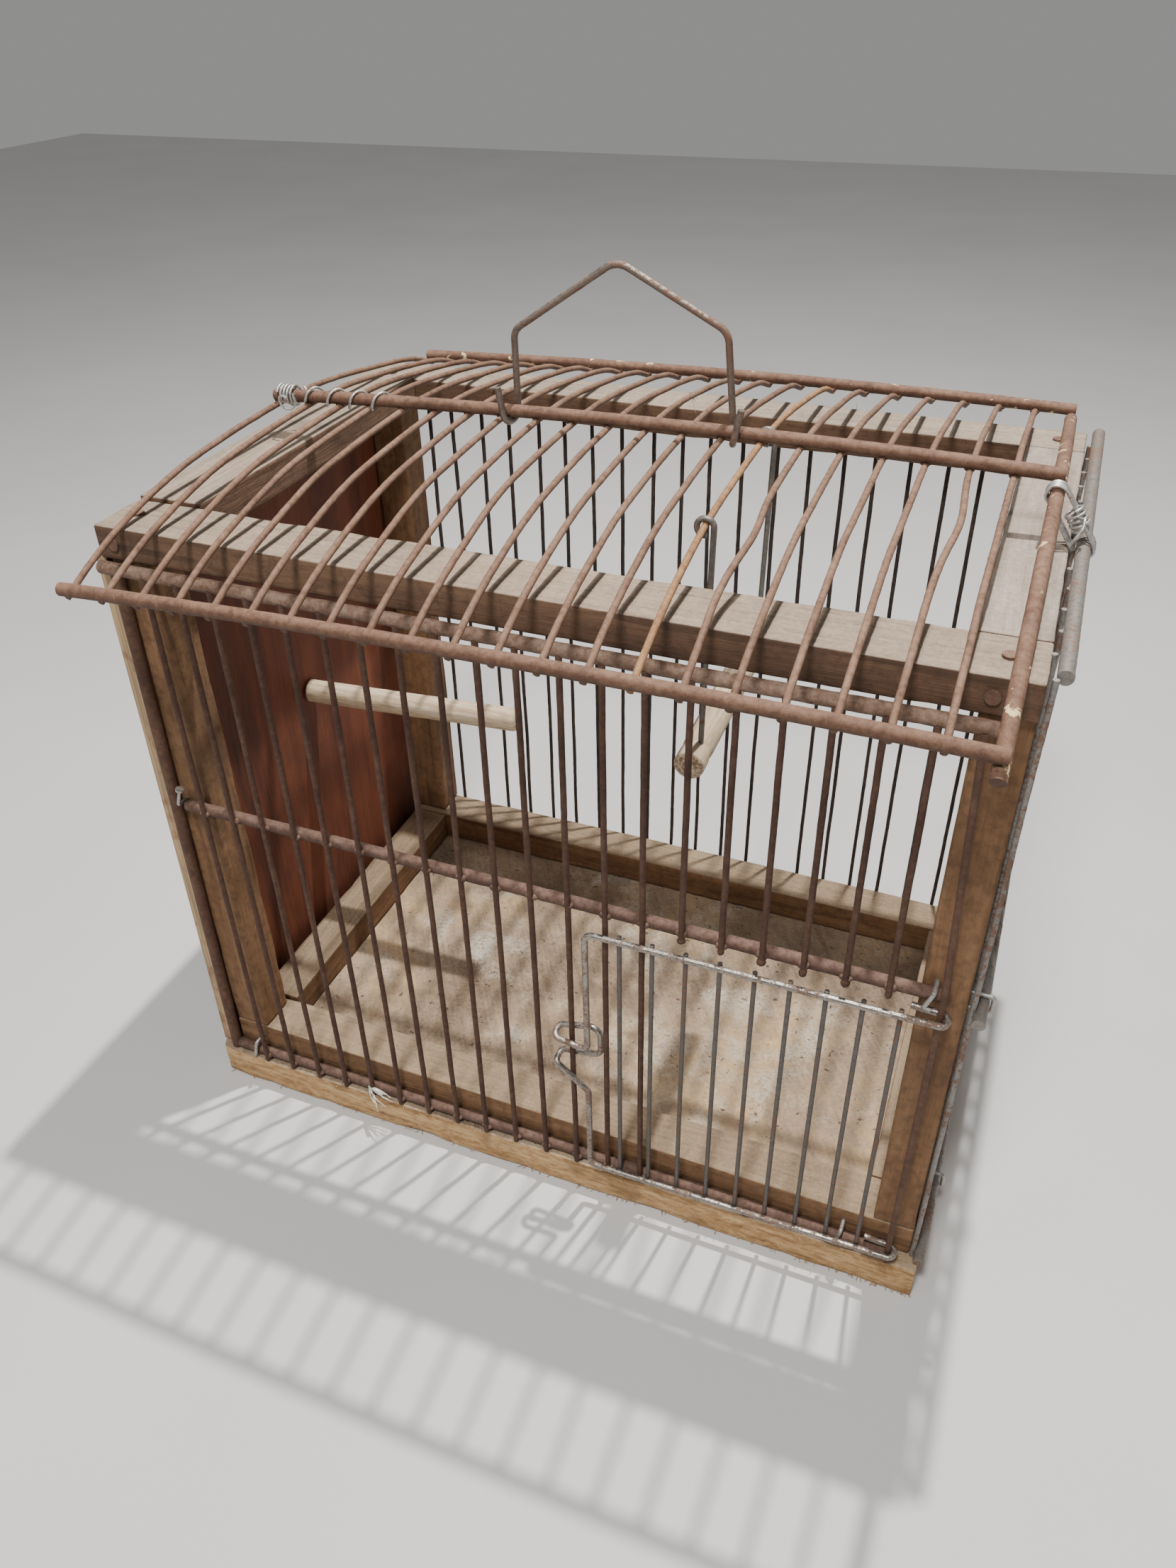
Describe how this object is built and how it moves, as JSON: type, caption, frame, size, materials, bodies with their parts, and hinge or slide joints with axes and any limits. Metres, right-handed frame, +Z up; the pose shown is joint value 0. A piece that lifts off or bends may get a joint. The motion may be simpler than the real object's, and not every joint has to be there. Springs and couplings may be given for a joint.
{
  "type": "poultry transport crate",
  "caption": "Home-made lath and wire carrying cage for small poultry with an arched wire roof, a wire door on hooks, a bail handle, a side perch and a hanging swing perch.",
  "frame": {"origin": "underside of the base board, in the middle of the wooden frame", "axes": "+X to the right along the front with the door, +Y to the back, +Z up"},
  "size_m": [0.4847, 0.3828, 0.518],
  "materials": {
    "weathered_wood": "worn, dusty sawn softwood",
    "plywood": "reddish plywood, stained",
    "dowel_wood": "bare pale dowel",
    "rusty_rod": "pinkish brown rust with old cream paint flakes",
    "dark_rusty_wire": "dark brown rust",
    "grey_wire": "dull grey, lightly rusted",
    "door_wire": "old plating, spotted with rust",
    "handle_wire": "grey brown, worn bright at the top",
    "hanger_wire": "dull grey steel",
    "tie_wire": "galvanised binding wire",
    "galvanised": "galvanised, stained with rust"
  },
  "bodies": {
    "cage": {"back_grille_bottom_rod": "rusty_rod", "back_grille_top_rod": "rusty_rod", "back_staples": "galvanised", "back_wires": "dark_rusty_wire", "base_board": "weathered_wood", "bottom_rail_back": "weathered_wood", "bottom_rail_front": "weathered_wood", "bottom_rail_left": "weathered_wood", "bottom_rail_right": "weathered_wood", "corner_nails": "galvanised", "front_clips": "galvanised", "front_grille_bottom_rod": "rusty_rod", "front_grille_left_rod": "rusty_rod", "front_grille_middle_rod": "rusty_rod", "front_grille_top_rod": "rusty_rod", "front_wires_long": "dark_rusty_wire", "front_wires_short": "dark_rusty_wire", "hinge_wire": "dark_rusty_wire", "left_panel": "plywood", "panel_nails": "galvanised", "perch_dowel": "dowel_wood", "perch_screw": "galvanised", "post_back_left": "weathered_wood", "post_back_right": "weathered_wood", "post_front_left": "weathered_wood", "post_front_right": "weathered_wood", "right_grille_bottom_rod": "rusty_rod", "right_grille_middle_rod": "rusty_rod", "right_grille_top_rod": "rusty_rod", "right_staples": "galvanised", "right_wires": "grey_wire", "roof_back_rod": "rusty_rod", "roof_front_rod": "rusty_rod", "roof_middle_rod": "rusty_rod", "roof_side_rod": "rusty_rod", "roof_wires": "rusty_rod", "tie_wire_left": "tie_wire", "tie_wire_right": "tie_wire", "top_nails": "galvanised", "top_rail_back": "weathered_wood", "top_rail_front": "weathered_wood", "top_rail_left": "weathered_wood", "top_rail_right": "weathered_wood"},
    "door": {"door_frame_wire": "door_wire", "door_bars": "door_wire"},
    "handle": {"handle": "handle_wire"},
    "swing": {"swing_dowel": "dowel_wood", "swing_hanger_front": "hanger_wire", "swing_hanger_back": "hanger_wire"}
  },
  "joints": [
    {"name": "door_hinge", "type": "hinge", "parent": "cage", "child": "door", "pos_m": [0.218, -0.1544, 0.129], "axis": [0, 0, 1], "range_deg": [0, 145]},
    {"name": "handle_fold", "type": "hinge", "parent": "cage", "child": "handle", "pos_m": [-0.0618, -0.0049, 0.43907], "axis": [0.9999, 0, 0.0139], "range_deg": [-90, 47]},
    {"name": "swing_pivot", "type": "hinge", "parent": "cage", "child": "swing", "pos_m": [0.07588, -0.097, 0.43026], "axis": [0, 0.9986, 0.0521], "range_deg": [-60, 60]}
  ]
}
